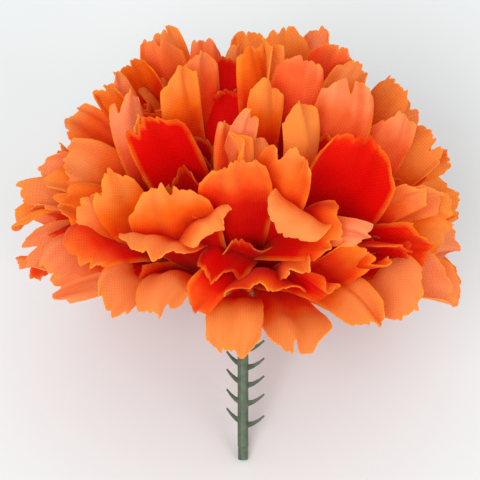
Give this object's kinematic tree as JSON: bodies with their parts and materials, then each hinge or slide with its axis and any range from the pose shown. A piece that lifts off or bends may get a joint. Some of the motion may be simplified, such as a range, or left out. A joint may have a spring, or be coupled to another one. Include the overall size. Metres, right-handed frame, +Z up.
{
  "type": "artificial carnation",
  "caption": "Ruffled carnation head of pinked cloth petals in stacked discs on a short green barbed plastic peg, lying on its side.",
  "frame": {"origin": "on the table, under the middle of the lying flower's box", "axes": "+Z up from the table; the head lies towards +Y and the cut end of the peg towards -Y, with its axis in the YZ plane about 48 degrees above the table; the side of the flower that faces up and towards -Y is its front"},
  "size_m": [0.0896, 0.0844, 0.0807],
  "materials": {
    "petal_cloth": "woven polyester, dyed from deep red at the root to orange at the rim",
    "green_plastic": "moulded, satin"
  },
  "bodies": {
    "root": {"stem": "green_plastic", "calyx": "green_plastic", "petal_layer_1": "petal_cloth", "petal_layer_2": "petal_cloth", "petal_layer_3": "petal_cloth", "petal_layer_4": "petal_cloth", "petal_layer_5": "petal_cloth", "petal_layer_6": "petal_cloth", "petal_layer_7": "petal_cloth", "petal_layer_8": "petal_cloth", "retaining_cap": "green_plastic"}
  },
  "joints": []
}
